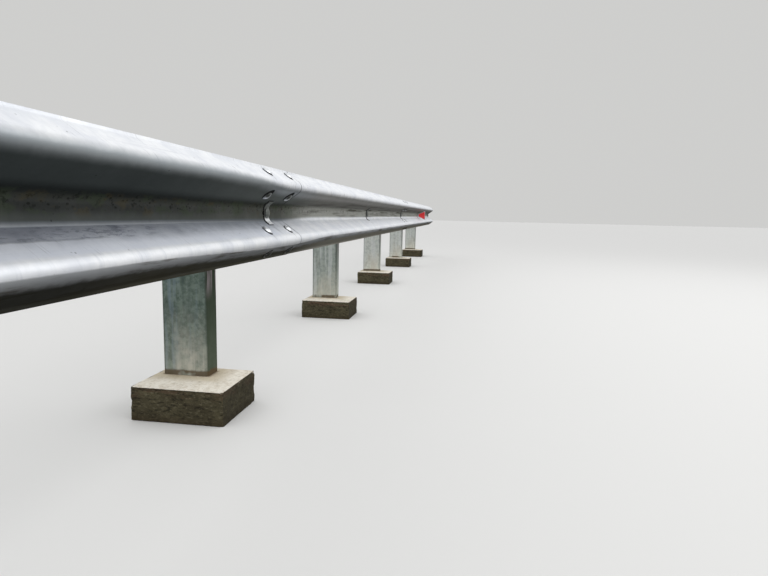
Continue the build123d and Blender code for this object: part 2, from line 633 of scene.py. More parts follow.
def make_plate_washer():
    """Curved plate washer that follows the front of the valley."""
    corner_rise = valley_rise + (valley_seat - valley_seat / sin(slope)) * tan(slope)
    end_depth = valley_seat + (washer_height / 2 - corner_rise) / tan(slope)
    upper = [(valley_seat, corner_rise), (end_depth, washer_height / 2)]
    section = [(depth, -rise) for depth, rise in reversed(upper)] + upper
    corners = [Vector((-washer_length / 2, -depth, rise)) for depth, rise in section]
    bend = wave_bend + rail_sheet - valley_seat
    washer = fold_sheet(corners, [bend] * 2, along_rail * washer_length)
    thicken(washer, washer_plate)
    cut(washer, [bolt_hole_cutter(2 * rail_depth)])
    round_off(washer, washer_edge)
    # The washer's ends are painted dark, as shade with dirt
    mark_grime_and_shade(washer, lambda point: abs(point.x) > washer_length / 2 - washer_edge / 3)
    return washer


def flared_plate(x, start, margin):
    """Flat plate across the rail, narrow in the valley and wide in front, corners rounded."""
    flare = (reflector_height - bracket_tab_height) / 2 / (reflector_reach - bracket_tab_depth)
    inset = margin / cos(atan(flare))

    def half_height(depth):
        return bracket_tab_height / 2 + (depth - bracket_tab_depth) * flare - inset

    end = reflector_reach - margin
    plate = add(
        bpy.ops.mesh.primitive_plane_add, (2 * half_height(start), end - start, 1), size=1,
        location=(x, -(start + end) / 2, 0), rotation=(0, radians(-90), 0),
    )
    open_edit(plate)
    select_edges(plate, lambda a, b: max(a.y, b.y) < -end + hair)
    bpy.ops.transform.resize(value=(1, 1, half_height(end) / half_height(start)))
    bpy.ops.mesh.select_mode(type="VERT")
    bevel((reflector_corner - margin) * corner_setback, corner_steps, "VERTICES")
    clear_selection()
    return plate


def make_bracket():
    """Reflector bracket: an upright across the valley, folded into a tab under the post bolt's head."""
    bracket = flared_plate(bracket_upright_x, bracket_tab_depth, 0)
    open_edit(bracket)
    select_edges(bracket, lambda a, b: min(a.y, b.y) > -bracket_tab_depth - hair)
    extrude((0, bracket_tab_depth - valley_seat, 0))
    extrude((bracket_tab_end - bracket_upright_x, 0, 0))
    select_fold(bracket, Vector((bracket_upright_x, -valley_seat, 0)), up)
    bevel((bracket_bend + bracket_plate) * almost_all, corner_steps, clamp_overlap=False)
    select_edges(bracket, lambda a, b: min(a.x, b.x) > bracket_tab_end - hair)
    bpy.ops.mesh.select_mode(type="VERT")
    bevel(tab_corner, 4, "VERTICES")
    clear_selection()
    thicken(bracket, bracket_plate, -1)
    cut(bracket, [bolt_hole_cutter(8 * bracket_plate)])
    round_off(bracket, sheet_edge)
    return bracket


def make_red_sheet(x):
    sheet = flared_plate(x, red_start, red_margin)
    thicken(sheet, red_sheet, -1)
    round_off(sheet, thin_edge)
    return sheet


# Materials

def tint(red, green, blue):
    """Screen colour, 0 to 255, as the linear colour that a node takes."""
    def linear(level):
        level /= 255
        return level / 12.92 if level <= 0.04045 else ((level + 0.055) / 1.055) ** 2.4
    return linear(red), linear(green), linear(blue), 1


def feed(socket, value):
    """Links a value to a socket, or sets the socket to a plain number, colour or vector."""
    if isinstance(value, Value):
        socket.id_data.links.new(value.socket, socket)
    else:
        socket.default_value = value


def add_node(tree, kind, settings, sockets, output):
    """Adds a node; its settings, or a ramp's stops, come before the values and links of its sockets."""
    node = tree.nodes.new(kind)
    for setting, value in settings.items():
        if setting == "stops":
            set_stops(node.color_ramp, value)
        else:
            setattr(node, setting, value)
    for name, value in sockets.items():
        feed(node.inputs[name], value)
    return Value(node.outputs[output])


def set_stops(ramp, stops):
    """Colours of a ramp at their places along it, eased between."""
    ramp.interpolation = "EASE"
    for element, (ramp_place, colour) in zip(ramp.elements, (stops[0], stops[-1])):
        element.position, element.color = ramp_place, colour
    for ramp_place, colour in stops[1:-1]:
        ramp.elements.new(ramp_place).color = colour


class Value:
    """A socket of a material; arithmetic on it adds the nodes that work it out."""

    def __init__(self, socket):
        self.socket = socket

    def math(self, operation, *values):
        settings = {"operation": operation}
        return add_node(self.socket.id_data, "ShaderNodeMath", settings, dict(enumerate(values)), 0)

    def __add__(self, other):
        return self.math("ADD", self, other)

    def __sub__(self, other):
        return self.math("SUBTRACT", self, other)

    def __mul__(self, other):
        return self.math("MULTIPLY", self, other)

    def __rsub__(self, other):
        return self.math("SUBTRACT", other, self)

    def __neg__(self):
        return self.math("MULTIPLY", self, -1)

    def __abs__(self):
        return self.math("ABSOLUTE", self)

    __radd__ = __add__
    __rmul__ = __mul__

    def at_most(self, other):
        return self.math("MINIMUM", self, other)

    def at_least(self, other):
        return self.math("MAXIMUM", self, other)

    def repeat(self, period):
        """The value wrapped to within half a period of zero."""
        return self.math("WRAP", self, period / 2, -period / 2)

    def square_with(self, other):
        """Distance from its two parts, this value and another."""
        squares = self * self + other * other
        return squares.math("SQRT", squares)

    def rise(self, low, high):
        """0 below low, 1 above high and smooth between; where low is the larger, it falls instead."""
        start, end = (0, 1) if low < high else (1, 0)
        return add_node(self.socket.id_data, "ShaderNodeMapRange", {"interpolation_type": "SMOOTHSTEP"}, {
            "Value": self, "From Min": min(low, high), "From Max": max(low, high), "To Min": start,
            "To Max": end,
        }, "Result")

    def between(self, low, start, end, high):
        """1 from start to end, and smooth down to 0 at low and at high."""
        return self.rise(low, start) * self.rise(high, end)


class Shader:
    """The nodes of a material or of the world."""

    def __init__(self, owner):
        owner.use_nodes = True
        self.tree = owner.node_tree

    def node(self, kind, settings=None, sockets=None, output=0):
        return add_node(self.tree, kind, settings or {}, sockets or {}, output)

    def parts(self, vector):
        """X, Y and Z of a vector."""
        split = self.node("ShaderNodeSeparateXYZ", sockets={"Vector": vector})
        return [Value(socket) for socket in split.socket.node.outputs]

    def mix(self, below, above, amount):
        """Colour laid over another by an amount."""
        return self.node("ShaderNodeMix", {"data_type": "RGBA"}, {0: amount, 6: below, 7: above}, 2)


class Finish(Shader):
    """A material: its patterns are read at places on the object."""

    def __init__(self, name):
        self.material = bpy.data.materials.new(name)
        super().__init__(self.material)
        self.surface = self.tree.nodes["Principled BSDF"]
        self.place = self.node("ShaderNodeTexCoord", output="Object")
        self.x, self.y, self.z = self.parts(self.place)
        facing = self.node("ShaderNodeNewGeometry", output="Normal")
        self.facing_x, self.facing_y, self.facing_z = self.parts(facing)

    def stretched(self, stretch, shift=(0, 0, 0)):
        """Places with the pattern scaled differently along each axis."""
        return self.node("ShaderNodeMapping", sockets={
            "Vector": self.place, "Scale": stretch, "Location": shift,
        })

    def noise(self, scale, detail=3, roughness=0.55, stretch=(1, 1, 1), shift=(0, 0, 0)):
        return self.node("ShaderNodeTexNoise", sockets={
            "Vector": self.stretched(stretch, shift), "Scale": scale, "Detail": detail,
            "Roughness": roughness,
        })

    def cells(self, scale, feature="F1", output="Distance", stretch=(1, 1, 1), randomness=1):
        return self.node("ShaderNodeTexVoronoi", {"feature": feature}, {
            "Vector": self.stretched(stretch), "Scale": scale, "Randomness": randomness,
        }, output)

    def spangle(self, scale):
        """Grey level of each cell."""
        return self.node("ShaderNodeRGBToBW", sockets={"Color": self.cells(scale, output="Color")})

    def coats(self, base, *layers):
        """Colours laid over a base, each with its amount; plain ones are screen colours."""
        colour = base if isinstance(base, Value) else tint(*base)
        for above, amount in layers:
            colour = self.mix(colour, above if isinstance(above, Value) else tint(*above), amount)
        return colour

    def bump(self, height, distance, strength=1.0, under=None):
        sockets = {"Height": height, "Distance": distance, "Strength": strength}
        if under is not None:
            sockets["Normal"] = under
        return self.node("ShaderNodeBump", sockets=sockets)

    def set(self, **values):
        """Sockets of the surface, by their names with _ for each space."""
        for name, value in values.items():
            feed(self.surface.inputs[name.replace("_", " ")], value)


def rail_finish():
    """Zinc-coated rail: bright slopes, road film with painted shade on walls that face down, dirt with
    painted shade in the valley and under the lower wave, dirt with painted shadow at laps and round bolts.
    """
    f = Finish("rail_zinc")
    rise = f.z - rail_centre
    spread = abs(rise)
    front = (-f.facing_y).rise(0.02, 0.2)

    # Patterns, most of them drawn out along the rail
    cloud = f.noise(9, 4, 0.6)
    patch = f.noise(26, 5, 0.6, shift=(3.1, 0, 0))
    rolled = f.noise(60, 4, 0.6, stretch=(0.04, 1, 1))
    smear = f.noise(38, 5, 0.65, stretch=(0.1, 1, 1), shift=(0.6, 0, 0))
    curtain = f.noise(90, 3, 0.6, stretch=(1, 0.1, 0.1), shift=(1.7, 0, 0))
    mould = f.noise(20, 5, 0.72, stretch=(0.5, 1, 1), shift=(2, 5, 0))
    blot = f.noise(30, 5, 0.7, stretch=(0.45, 1, 1), shift=(0.3, 1.1, 0))
    grain = f.noise(900, 2, 0.6)
    spangle = f.spangle(75)
    ragged = (patch - 0.5) * 0.014

    # Lengths of the line: towards the lap at -2 m, past it, and from the next rail on
    near_lap = f.x.rise(-2.9, -2.05)
    rinsed = f.x.rise(-2.06, -1.92)
    # Further along the line the painted shade on the upper wave starts lower down, so the wall is painted
    # lighter there
    lightened = f.x.rise(-2.6, -2.2) * 0.004 + f.x.rise(-2.3, -1.92) * 0.02 - 0.003
    beyond = f.x.rise(tail_edge - 0.1, tail_edge + 0.5)
    before = 1 - beyond

    # Road film with painted shade on the upper wave, and mud with painted shade in the valley, by height
    # from the rail's middle; painted shade in the crease above the valley and along the bend under it
    over_valley = rise.rise(0.012, 0.026)
    crest_shade_and_film = front * (rise + lightened + ragged * 0.6).rise(0.119, 0.096) * over_valley
    wall_shade_and_film = front * (rise + lightened + ragged * 0.5).rise(0.094, 0.072) * over_valley
    valley = front * rise.rise(0.04, 0.026)
    valley = valley * (rise + near_lap * 0.003 - beyond * 0.012 + ragged * 0.12).rise(-0.033, -0.019)
    near_mould = valley * before * rise.rise(-0.02, 0)
    valley_spots = f.noise(48, 4, 0.7, stretch=(0.5, 1, 1)).rise(0.56, 0.7)
    valley_spots = valley * rise.rise(0.002, 0.02) * valley_spots
    grit = f.cells(95, stretch=(0.6, 1, 1)).rise(0.3, 0.16)
    grit = grit * f.noise(16, 4, 0.65, shift=(4, 0, 1)).rise(0.5, 0.6) * valley * rise.rise(-0.006, 0.006)
    soot = f.noise(75, 4, 0.7, stretch=(0.7, 1, 1), shift=(6, 0, 2)).rise(0.53, 0.66) * valley
    crease = front * rise.between(0.023, 0.03, 0.034, 0.05)
    bend_line = front * rise.between(-0.033, -0.028, -0.0235, -0.017) * before

    # Stains and splashes on the slope under the valley; nearest the valley the splash band is also painted
    # shade from the upper wave
    under_valley = front * rise.rise(-0.0275, -0.03) * before
    tide = rise + ragged * 0.12 + (cloud - 0.5) * 0.004
    under_tide = under_valley * tide.rise(-0.0525, -0.049)
    stain = under_tide * (0.16 + 0.84 * f.x.rise(-2.8, -3.15))
    stain = stain.at_least(under_tide * blot.rise(0.52, 0.62) * f.x.rise(-2.3, -2.9))
    mid_run = f.x.between(-3, -2.88, -2.66, -2.5)
    stain = stain.at_least(under_valley * tide.rise(-0.064, -0.05) * mid_run * 0.45)
    tide_line = under_valley * tide.between(-0.053, -0.0515, -0.05, -0.0485)
    tide_line = tide_line * f.x.rise(-2.7, -3.0) * smear.rise(0.52, 0.62)
    fleck = f.noise(85, 5, 0.75, stretch=(0.35, 1, 1), shift=(5, 2, 0)).rise(0.5, 0.6)
    fleck = fleck * under_tide * f.x.rise(-2.6, -2.9)
    splash = under_valley * (rise + ragged * 1.2).rise(-0.068, -0.026) * (1 - 0.55 * rinsed)
    dusty = front * rise.rise(-0.022, -0.04)

    # Nicks and drops on the crests, and the dull underside of the lower wave, with dirt and painted shade,
    # darkest at the bottom
    nick = f.noise(240, 3, 0.6, stretch=(1, 0.05, 0.05), shift=(8, 0, 0)).rise(0.6, 0.68)
    nick = nick * front * f.facing_z.rise(0.15, 0.4) * f.noise(11, 3, 0.6, shift=(9, 0, 0)).rise(0.5, 0.6)
    drop = f.cells(42, stretch=(1, 0.3, 0.3)).rise(0.15, 0.08)
    drop = drop * f.noise(5, 2, 0.5, shift=(7, 0, 0)).rise(0.5, 0.56) * front * rise.rise(0.08, 0.095)
    speck_size = f.noise(14, 2, 0.5, shift=(0, 0, 5.3))
    speck = f.cells(60).rise(0.15, 0.07) * speck_size.rise(0.58, 0.66)
    low = rise + f.x.rise(-2.9, -2.1) * before * 0.014
    belly = front * (low + ragged * 0.12).rise(-0.0975, -0.1015)
    deep = front * (low + ragged).rise(-0.112, -0.125)

    # Dirt with painted contact shadow round the bolts and washers, and what runs from them
    post_gap = abs(f.x.repeat(post_spacing))
    along = abs(abs(abs(f.x) - post_spacing) - splice_column_offset)
    slot_middle = (inner_slot_rise + outer_slot_rise) / 2
    across = abs(abs(spread - slot_middle) - (outer_slot_rise - inner_slot_rise) / 2)
    from_bolt = along.square_with(across * (1 / sin(slope)))
    on_wall = rise.between(0.04, 0.048, 0.08, 0.088)
    bolt_ring = front * (from_bolt - on_wall * rise.rise(0.052, 0.062) * 0.008).rise(0.0225, 0.018)
    from_washer = (post_gap - washer_length / 2).at_least(spread - washer_height / 2)
    washer_ring = front * from_washer.rise(0.005, 0.001)
    bolt_drip = (along + (curtain - 0.5) * 0.006).rise(0.009, 0.003) * front * f.facing_z.rise(0.1, 0.5)
    bolt_drip = bolt_drip * from_bolt.rise(0.075, 0.02)
    washer_drip = (post_gap + (curtain - 0.5) * 0.01).rise(0.014, 0.004) * front
    washer_drip = washer_drip * rise.rise(-0.078, -0.052) * rise.rise(-0.03, -0.04)
    washer_drip = washer_drip * patch.rise(0.35, 0.55) * (0.25 + 0.5 * f.x.rise(-1.5, -0.5))

    # The edges of the laps, with dirt and painted shadow just beyond them and scuffs beside them
    lap_edge = (f.x - tail_edge).repeat(2 * post_spacing)
    lap_line = front * lap_edge.between(-0.0045, -0.0015, 0.01, 0.03)
    lap_line = lap_line * (0.45 + 0.55 * patch.rise(0.4, 0.6)) * (1 - 0.85 * valley)
    scratch = f.node("ShaderNodeTexWave", {"wave_type": "BANDS", "bands_direction": "X"}, {
        "Vector": f.place, "Scale": 15, "Distortion": 9, "Detail": 4, "Detail Scale": 1.2,
    }, "Fac")
    scuff = front * scratch.rise(0.93, 0.99) * lap_edge.between(-0.16, -0.03, 0.02, 0.14)
    scuff = scuff * rise.rise(0.078, 0.1) * patch.rise(0.44, 0.54)

    drips = (bolt_drip * 0.25).at_least(washer_drip).at_least(scuff * 0.45).at_least(drop * 0.65)
    grime = (bolt_ring * 0.9).at_least(washer_ring * 0.85).at_least(lap_line * 0.85).at_least(speck * 0.6)

    clean = f.coats(
        (240, 242, 244),
        ((226, 229, 234), cloud.rise(0.36, 0.64)),
        ((190, 194, 203), (spangle - 0.3).at_least(0) * 0.22),
        ((178, 183, 194), curtain.rise(0.48, 0.76) * front * (0.12 + 0.12 * rise.rise(0.1, 0))),
        ((176, 181, 192), rolled.rise(0.54, 0.75) * 0.22),
        ((216, 222, 234), dusty * rise.rise(-0.078, -0.07) * (0.6 - 0.5 * rinsed)),
    )
    # Colours of the painted shade on the upper crest and the wall, of the mud with painted shade in the
    # valley, and of the dregs with painted shade under the lower wave; all painted lighter further along the
    # line
    crest = f.coats((128, 135, 138), ((134, 130, 121), beyond))
    wall = f.coats((64, 70, 68), ((100, 105, 101), near_lap), ((116, 115, 109), beyond))
    # The valley's mud, with painted shade darkest at its top under the wall
    mud_and_shade = f.coats(
        (60, 64, 60),
        ((30, 33, 27), (rise + ragged * 0.5).rise(-0.016, 0.004)),
        ((62, 64, 60), rise.rise(0.008, 0.022)),
        ((70, 72, 64), near_lap * 0.8),
        ((156, 157, 150), beyond),
    )
    dregs_and_shade = f.coats(
        (50, 49, 40),
        ((72, 70, 58), f.x.rise(-3.1, -2.8)),
        ((78, 76, 64), near_lap),
        ((158, 155, 144), beyond),
    )
    colour = f.coats(
        clean,
        # Painted shade on the upper crest and the wall, and mud with painted shade in the valley
        (crest, crest_shade_and_film * 0.85),
        (wall, wall_shade_and_film * (0.88 + 0.08 * cloud)),
        (mud_and_shade, valley * (0.92 + 0.06 * cloud)),
        ((58, 54, 44), (wall_shade_and_film + valley) * rolled.rise(0.5, 0.62) * beyond * 0.4),
        # Painted shade in the crease above the valley
        ((34, 37, 38), crease * (0.6 - 0.25 * near_lap - 0.2 * beyond)),
        ((70, 82, 60), near_mould * mould.rise(0.5, 0.6) * 0.35),
        ((86, 78, 54), near_mould * mould.rise(0.46, 0.36) * 0.35),
        ((84, 74, 48), valley_spots * 0.4),
        ((14, 15, 11), (grit * 0.55).at_least(soot * rise.rise(-0.01, 0.01) * 0.5)),
        # Splashes, with painted shade from the upper wave nearest the valley
        ((112, 118, 127), splash * (0.62 + 0.3 * blot)),
        ((92, 96, 106), stain * (0.3 + 0.6 * blot)),
        ((66, 70, 80), fleck * 0.42),
        ((60, 62, 66), tide_line * 0.3),
        ((120, 124, 132), nick * 0.4),
        # Painted shade along the bend under the valley
        ((98, 104, 110), bend_line * 0.62),
        # Dirt with painted shade under the lower wave, darkest at the bottom
        ((152, 155, 158), belly * (0.8 + 0.15 * smear)),
        ((84, 78, 64), belly * smear.rise(0.48, 0.62) * 0.6),
        (dregs_and_shade, deep * (0.86 + 0.1 * patch)),
        ((86, 84, 82), drips),
        # Painted contact shadow with dirt round bolts, washers and lap edges, with dark specks
        ((26, 26, 25), grime),
    )
    film = (wall_shade_and_film * 0.55 + valley + deep * 0.75 + belly * 0.3 + stain * 0.3).at_most(1).at_least(grime)
    rough = 0.3 + 0.08 * cloud + 0.05 * spangle + 0.36 * film + 0.04 * rolled
    f.set(Base_Color=colour, Metallic=0.55 - 0.4 * film - 0.15 * dusty, Roughness=rough)
    dent = f.noise(6.5, 2, 0.4, stretch=(1, 1.4, 1.4), shift=(0.2, 0, 0))
    normal = f.bump(dent, 0.012, 0.3)
    normal = f.bump(rolled, 0.0006, 0.3, normal)
    f.set(Specular_IOR_Level=0, Normal=f.bump(grain + patch * 0.6, 0.0002, 0.3, normal))
    return f.material


def post_finish():
    """Dull green-grey zinc on posts and blocking pieces: painted shade on the faces towards the road and at
    the bends, painted lighter along the line, cement splashed on from below.
    """
    f = Finish("post_zinc")
    mottle = f.noise(46, 5, 0.65)
    broad = f.noise(7, 3, 0.6, shift=(0, 2.2, 0))
    streak = f.noise(38, 4, 0.6, stretch=(1, 1, 0.06))
    spangle = f.spangle(120)
    grain = f.noise(700, 2, 0.6)
    splash = f.noise(30, 5, 0.7, shift=(1.3, 0.7, 0))
    blotch = f.noise(16, 4, 0.6, stretch=(1, 1, 0.5), shift=(0, 0.8, 2))

    # The posts are painted paler along the line, from the one nearest the camera on, partly as haze; on the
    # near posts the faces turned away from the camera are painted lighter
    lighter_along_line = f.x.rise(-1.8, 0)
    pale = f.x.rise(0.4, 2.0)
    height = f.z - footing_height
    front = (-f.facing_y).rise(0.35, 0.85) * (1 - 0.55 * lighter_along_line)
    away = f.facing_x.at_least(f.facing_y).rise(0.3, 0.7)
    corner = (abs(f.facing_x) * abs(f.facing_y)).rise(0.12, 0.42)
    across = f.y + (broad - 0.5) * 0.06
    middle = (abs(across) - 0.01).rise(0.075, 0.02)
    haze = (height + (streak - 0.5) * 0.26 + (broad - 0.5) * 0.16).rise(0.24, 0.07)
    haze = haze * (1 - 0.55 * across.rise(0.03, 0.052))
    cement = haze * (0.3 + 0.42 * splash.rise(0.35, 0.6) + 0.2 * middle + 0.34 * streak.rise(0.47, 0.58))
    band = (height + (splash - 0.5) * 0.012).rise(0.022, 0.012)
    foot = (height + (splash - 0.5) * 0.014).rise(0.024, 0.014) * broad.rise(0.38, 0.48)

    colour = f.coats(
        (142, 158, 147),
        ((108, 125, 115), mottle.rise(0.4, 0.62)),
        ((94, 107, 102), blotch.rise(0.5, 0.64) * 0.45),
        ((160, 178, 190), streak.rise(0.48, 0.62) * (0.25 + 0.35 * f.y.rise(0.01, 0.06))),
        ((176, 188, 184), spangle.rise(0.55, 0.9) * 0.22),
        ((92, 108, 106), streak.rise(0.46, 0.3) * 0.4),
        # Painted paler along the line, partly as haze
        ((206, 214, 206), lighter_along_line * 0.75),
        ((240, 244, 238), pale * 0.85),
        ((140, 154, 152), lighter_along_line * mottle.rise(0.44, 0.6) * (0.42 - 0.14 * pale)),
        ((250, 253, 252), lighter_along_line * streak.rise(0.48, 0.58) * 0.42),
        ((150, 138, 120), lighter_along_line * blotch.rise(0.54, 0.66) * height.rise(0.4, 0.1) * 0.3),
        # Painted lighter on the near posts' faces turned away from the camera
        ((188, 200, 190), away * f.x.rise(1.0, -1.0) * 0.6),
        # Painted shade at the channel's bends
        ((78, 90, 84), corner * 0.55),
        # Painted shade on the faces towards the road, with lighter streaks near the top
        ((74, 84, 69), front * 0.95),
        ((186, 174, 178), front * streak.rise(0.41, 0.52) * height.rise(0.27, 0.36) * 0.75),
        ((200, 198, 186), cement * 0.72 * (1 - 0.92 * front)),
        ((176, 186, 176), band * 0.45 * (1 - 0.6 * front)),
        ((92, 74, 52), foot * 0.85),
    )
    dull = (cement * 0.75 + foot * 0.5 + front * 0.9).at_most(1)
    f.set(Base_Color=colour, Metallic=0.7 * (1 - dull), Roughness=0.46 + 0.12 * mottle + 0.22 * dull)
    normal = f.bump(f.noise(9, 2, 0.5), 0.006, 0.25)
    normal = f.bump(mottle + spangle * 0.3, 0.0005, 0.35, normal)
    f.set(Specular_IOR_Level=0, Normal=f.bump(grain + splash * dull * 3, 0.0003, 0.4, normal))
    return f.material


def fitting_finish():
    """Hot-dipped bolts, nuts, washers and brackets: lighter on the lower slope; painted shade with film in
    the valley and on the wall; painted shade with dirt under the lower wave and at head rims and washer
    ends.
    """
    f = Finish("fitting_zinc")
    rise = f.z - rail_centre
    mottle = f.noise(120, 4, 0.65)
    grain = f.noise(1500, 2, 0.6)
    spots = f.noise(60, 4, 0.7, shift=(0, 0, 2)).rise(0.6, 0.74)
    front = (-f.facing_y).rise(0.05, 0.3)
    # Painted shade with road film on fittings in the valley and on the wall, darker on faces turned to -X,
    # and painted shade with dirt under the lower wave
    valley = front * rise.rise(0.05, 0.04) * (rise + (mottle - 0.5) * 0.006).rise(-0.026, -0.014)
    wall = front * rise.between(0.044, 0.054, 0.066, 0.078)
    wall = wall * (0.45 + 0.55 * f.facing_x.rise(-0.02, -0.22))
    belly = front * rise.rise(-0.1, -0.112)
    # Lighter and less metallic on the lower slope
    lightened = front * rise.between(-0.052, -0.046, -0.022, -0.012)
    grime = f.node("ShaderNodeAttribute", {"attribute_name": "grime"}, output="Fac")
    colour = f.coats(
        (234, 236, 238),
        ((196, 200, 204), mottle.rise(0.4, 0.64)),
        ((120, 118, 112), spots * 0.5),
        ((244, 246, 248), lightened * 0.8),
        # Painted shade with film in the valley and on the wall
        ((86, 90, 82), (valley * (0.82 + 0.15 * mottle)).at_least(wall * 0.85)),
        ((70, 68, 58), belly * 0.85),
        # Dark rims and washer ends: painted shade with dirt
        ((24, 24, 22), grime * 0.94),
    )
    film = (valley * 0.7).at_least(grime)
    rough = 0.3 + 0.18 * mottle + 0.25 * film
    f.set(Base_Color=colour, Metallic=1 - 0.6 * film - 0.7 * lightened, Roughness=rough)
    f.set(Normal=f.bump(mottle + grain * 0.4, 0.0004, 0.35))
    return f.material


def concrete_finish():
    """Cast concrete, trowelled pale on top, scraped, crumbly and stained on the sides, which are also
    painted darker than the top as shade, darkest on the side towards the road.
    """
    f = Finish("concrete")
    top = f.facing_z.rise(0.4, 0.75) * f.z.rise(footing_height - rim_height, footing_height - 0.007)
    broad = f.noise(11, 5, 0.65)
    fine = f.noise(70, 5, 0.7)
    sand = f.noise(420, 3, 0.7)
    pore_size = f.noise(30, 2, 0.5, shift=(0, 4, 0))
    pores = f.cells(150).rise(0.3, 0.14) * pore_size.rise(0.5, 0.62)
    layers = f.noise(26, 4, 0.65, stretch=(0.25, 0.25, 1.6))
    trowel = f.noise(24, 4, 0.6, stretch=(0.35, 1.5, 1), shift=(0.5, 0, 0))
    crumb = f.noise(150, 5, 0.76, stretch=(0.45, 0.45, 1.1), shift=(0, 0, 6))
    pit = f.noise(105, 5, 0.72, stretch=(0.4, 0.4, 1.2), shift=(3, 0, 6))

    # Distance from the post, and heights that wander with the patterns
    outside = (abs(f.x.repeat(post_spacing)) - channel_flange / 2).at_least(abs(f.y) - post_width / 2)
    joint = (outside + (fine - 0.5) * 0.006).rise(0.01, 0.001)
    damp = (outside + (broad - 0.5) * 0.08).rise(0.07, 0.02)
    worn = (outside + (broad - 0.5) * 0.06).rise(0.05, 0.09)
    broad_height = f.z + (broad - 0.5) * 0.06
    fine_height = f.z + (fine - 0.5) * 0.03

    pale = f.coats(
        (223, 216, 201),
        ((204, 195, 178), broad.rise(0.35, 0.65)),
        ((238, 231, 218), trowel.rise(0.48, 0.68) * 0.4),
        ((176, 162, 136), fine.rise(0.54, 0.7) * 0.45),
        ((184, 170, 140), damp * 0.55),
        ((244, 241, 232), worn * crumb.rise(0.42, 0.56) * 0.5),
        # Pits painted dark as shade in their hollows, with dirt
        ((128, 116, 94), pit.rise(0.58, 0.7) * 0.4),
        ((112, 92, 68), joint * 0.55),
    )
    # The sides: stains, and painted darker than the top as shade
    side = f.coats(
        (98, 92, 70),
        ((78, 72, 54), broad.rise(0.35, 0.65)),
        ((60, 54, 40), layers.rise(0.5, 0.66) * 0.55),
        ((126, 120, 96), fine.rise(0.58, 0.74) * 0.4),
        ((112, 88, 72), broad_height.rise(0.08, 0.096) * layers.rise(0.44, 0.6) * 0.55),
        ((144, 138, 114), crumb.rise(0.52, 0.62) * 0.42),
        # Pits painted dark as shade in their hollows, with dirt
        ((32, 29, 21), pit.rise(0.51, 0.62) * 0.6),
        ((122, 114, 92), fine_height.rise(footing_height - rim_height, footing_height) * 0.4),
        ((66, 56, 40), broad_height.rise(0.035, 0) * 0.6),
        # Painted shade on the side towards the road
        ((44, 41, 30), (-f.facing_y).rise(0.5, 0.8) * 0.6),
    )
    # Pores painted dark as shade in their hollows, with dirt
    colour = f.coats(side, (pale, top), ((56, 50, 38), pores * (0.75 - 0.45 * top)))
    f.set(Base_Color=colour, Metallic=0, Roughness=0.86 + 0.08 * fine, Specular_IOR_Level=0.25)
    height = sand * 0.35 + fine - pores * 1.2 + crumb * 0.8 - pit.rise(0.52, 0.66) * 0.6 + layers * (1 - top)
    normal = f.bump(trowel, 0.0015, 0.5)
    f.set(Normal=f.bump(height, 0.0018, 0.8, normal))
    return f.material


def reflector_finish():
    """Red reflective sheeting with a fine honeycomb of cells under a clear face."""
    f = Finish("red_reflector")
    cell = f.cells(300, feature="DISTANCE_TO_EDGE", randomness=0.25)
    wall = cell.rise(0.1, 0.02)
    band = f.noise(30, 3, 0.6)
    worn = f.noise(90, 4, 0.7, shift=(1, 1, 1)).rise(0.62, 0.76)
    colour = f.coats(
        (254, 40, 52),
        ((240, 26, 40), band.rise(0.4, 0.6)),
        ((248, 104, 98), wall * 0.55),
        ((130, 26, 24), worn * 0.4),
    )
    f.set(Base_Color=colour, Roughness=0.3 + 0.15 * band, Coat_Weight=0.6, Coat_Roughness=0.08)
    f.set(Normal=f.bump(1 - wall, 0.0002, 0.4))
    return f.material


def dress(piece, slot, *nodes):
    """Gives a finished piece its material, hangs it on the root body and hides the solids it stands for."""
    piece.data.materials.clear()
    piece.data.materials.append(finishes[slot])
    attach(piece, "root")
    if nodes:
        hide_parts(*nodes)


# Camera at the photograph's angle, floor, backdrop and light

def add_camera():
    """Camera solved from places in the photograph: its place, its three turns and its lens."""
    place = Vector((-3.9055, -0.9987, 0.720))
    yaw, pitch, roll = radians(-8.33), radians(-7.49), radians(1.26)
    level = Vector((cos(yaw), -sin(yaw), 0))
    side = Vector((-sin(yaw), -cos(yaw), 0))
    ahead = level * cos(pitch) + up * sin(pitch)
    above = up * cos(pitch) - level * sin(pitch)
    right = side * cos(roll) + above * sin(roll)
    top = above * cos(roll) - side * sin(roll)
    clear_selection()
    bpy.ops.object.camera_add()
    camera = bpy.context.object
    camera.matrix_world = axes_at(place, right, top, -ahead)
    camera.data.sensor_width = 36
    camera.data.lens = 26.25
    camera.data.clip_start = 0.05
    camera.data.clip_end = 400
    bpy.context.scene.camera = camera


def add_floor():
    """Pale to the camera; to other rays dark under the rail and grey further in front of it."""
    floor = add(bpy.ops.mesh.primitive_plane_add, size=160)
    floor.name = "floor"
    f = Finish("floor")
    seen = f.node("ShaderNodeLightPath", output="Is Camera Ray")
    unseen = f.mix((0.085, 0.085, 0.08, 1), (0.40, 0.40, 0.395, 1), f.y.rise(-1.0, -2.4))
    f.set(Base_Color=f.mix(unseen, (0.70, 0.70, 0.69, 1), seen), Roughness=0.9)
    floor.data.materials.append(f.material)


